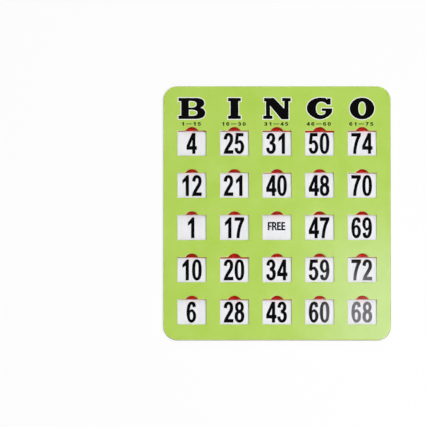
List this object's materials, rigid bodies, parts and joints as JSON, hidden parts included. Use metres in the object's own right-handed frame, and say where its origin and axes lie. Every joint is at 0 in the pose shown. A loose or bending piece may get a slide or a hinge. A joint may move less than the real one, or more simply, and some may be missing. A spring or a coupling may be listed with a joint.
{
  "type": "shutter slide bingo card",
  "caption": "Flat laminated board game card with a grid of number windows under column letters; a red plastic shutter slides down over each number to mark it and up again to clear it.",
  "frame": {"origin": "middle of the card's back face, on the surface that the card lies on", "axes": "+X across the columns from the first letter to the last, +Y up the card towards its header, +Z out of the printed face"},
  "size_m": [0.2032, 0.2286, 0.006],
  "materials": {
    "back_liner": "matte grey-brown liner",
    "board": "matte grey-brown solid board",
    "number_paper": "smooth white print paper",
    "face_print": "glossy laminated lime-green print",
    "shutter_plastic": "glossy red sheet plastic"
  },
  "bodies": {
    "card": {"back_sheet": "back_liner", "back_board": "board", "number_sheet": "number_paper", "track_board": "board", "face_board": "board", "face_sheet": "face_print"},
    "shutter_b1": {"shutter_b1": "shutter_plastic"},
    "shutter_b2": {"shutter_b2": "shutter_plastic"},
    "shutter_b3": {"shutter_b3": "shutter_plastic"},
    "shutter_b4": {"shutter_b4": "shutter_plastic"},
    "shutter_b5": {"shutter_b5": "shutter_plastic"},
    "shutter_i1": {"shutter_i1": "shutter_plastic"},
    "shutter_i2": {"shutter_i2": "shutter_plastic"},
    "shutter_i3": {"shutter_i3": "shutter_plastic"},
    "shutter_i4": {"shutter_i4": "shutter_plastic"},
    "shutter_i5": {"shutter_i5": "shutter_plastic"},
    "shutter_n1": {"shutter_n1": "shutter_plastic"},
    "shutter_n2": {"shutter_n2": "shutter_plastic"},
    "shutter_n3": {"shutter_n3": "shutter_plastic"},
    "shutter_n4": {"shutter_n4": "shutter_plastic"},
    "shutter_n5": {"shutter_n5": "shutter_plastic"},
    "shutter_g1": {"shutter_g1": "shutter_plastic"},
    "shutter_g2": {"shutter_g2": "shutter_plastic"},
    "shutter_g3": {"shutter_g3": "shutter_plastic"},
    "shutter_g4": {"shutter_g4": "shutter_plastic"},
    "shutter_g5": {"shutter_g5": "shutter_plastic"},
    "shutter_o1": {"shutter_o1": "shutter_plastic"},
    "shutter_o2": {"shutter_o2": "shutter_plastic"},
    "shutter_o3": {"shutter_o3": "shutter_plastic"},
    "shutter_o4": {"shutter_o4": "shutter_plastic"},
    "shutter_o5": {"shutter_o5": "shutter_plastic"}
  },
  "joints": [
    {"name": "slide_b1", "type": "slide", "parent": "card", "child": "shutter_b1", "axis": [0, -0.9996, 0.0293], "range_m": [-0.0006, 0.0216]},
    {"name": "slide_b2", "type": "slide", "parent": "card", "child": "shutter_b2", "axis": [0, -0.9996, 0.0293], "range_m": [0, 0.0222]},
    {"name": "slide_b3", "type": "slide", "parent": "card", "child": "shutter_b3", "axis": [0, -0.9996, 0.0293], "range_m": [0, 0.0222]},
    {"name": "slide_b4", "type": "slide", "parent": "card", "child": "shutter_b4", "axis": [0, -0.9996, 0.0293], "range_m": [-0.0004, 0.0218]},
    {"name": "slide_b5", "type": "slide", "parent": "card", "child": "shutter_b5", "axis": [0, -0.9996, 0.0293], "range_m": [0, 0.0222]},
    {"name": "slide_i1", "type": "slide", "parent": "card", "child": "shutter_i1", "axis": [0, -0.9996, 0.0293], "range_m": [-0.0005, 0.0217]},
    {"name": "slide_i2", "type": "slide", "parent": "card", "child": "shutter_i2", "axis": [0, -0.9996, 0.0293], "range_m": [0, 0.0222]},
    {"name": "slide_i3", "type": "slide", "parent": "card", "child": "shutter_i3", "axis": [0, -0.9996, 0.0293], "range_m": [0, 0.0222]},
    {"name": "slide_i4", "type": "slide", "parent": "card", "child": "shutter_i4", "axis": [0, -0.9996, 0.0293], "range_m": [-0.001, 0.0212]},
    {"name": "slide_i5", "type": "slide", "parent": "card", "child": "shutter_i5", "axis": [0, -0.9996, 0.0293], "range_m": [-0.0005, 0.0217]},
    {"name": "slide_n1", "type": "slide", "parent": "card", "child": "shutter_n1", "axis": [0, -0.9996, 0.0293], "range_m": [-0.0009, 0.0213]},
    {"name": "slide_n2", "type": "slide", "parent": "card", "child": "shutter_n2", "axis": [0, -0.9996, 0.0293], "range_m": [-0.0004, 0.0218]},
    {"name": "slide_n3", "type": "slide", "parent": "card", "child": "shutter_n3", "axis": [0, -0.9996, 0.0293], "range_m": [0, 0.0222]},
    {"name": "slide_n4", "type": "slide", "parent": "card", "child": "shutter_n4", "axis": [0, -0.9996, 0.0293], "range_m": [0, 0.0222]},
    {"name": "slide_n5", "type": "slide", "parent": "card", "child": "shutter_n5", "axis": [0, -0.9996, 0.0293], "range_m": [-0.0005, 0.0217]},
    {"name": "slide_g1", "type": "slide", "parent": "card", "child": "shutter_g1", "axis": [0, -0.9996, 0.0293], "range_m": [-0.0014, 0.0208]},
    {"name": "slide_g2", "type": "slide", "parent": "card", "child": "shutter_g2", "axis": [0, -0.9996, 0.0293], "range_m": [0, 0.0222]},
    {"name": "slide_g3", "type": "slide", "parent": "card", "child": "shutter_g3", "axis": [0, -0.9996, 0.0293], "range_m": [0, 0.0222]},
    {"name": "slide_g4", "type": "slide", "parent": "card", "child": "shutter_g4", "axis": [0, -0.9996, 0.0293], "range_m": [0, 0.0222]},
    {"name": "slide_g5", "type": "slide", "parent": "card", "child": "shutter_g5", "axis": [0, -0.9996, 0.0293], "range_m": [0, 0.0222]},
    {"name": "slide_o1", "type": "slide", "parent": "card", "child": "shutter_o1", "axis": [0, -0.9996, 0.0293], "range_m": [-0.0007, 0.0215]},
    {"name": "slide_o2", "type": "slide", "parent": "card", "child": "shutter_o2", "axis": [0, -0.9996, 0.0293], "range_m": [-0.0003, 0.0219]},
    {"name": "slide_o3", "type": "slide", "parent": "card", "child": "shutter_o3", "axis": [0, -0.9996, 0.0293], "range_m": [0, 0.0222]},
    {"name": "slide_o4", "type": "slide", "parent": "card", "child": "shutter_o4", "axis": [0, -0.9996, 0.0293], "range_m": [-0.0003, 0.0219]},
    {"name": "slide_o5", "type": "slide", "parent": "card", "child": "shutter_o5", "axis": [0, -0.9996, 0.0293], "range_m": [0, 0.0222]}
  ]
}
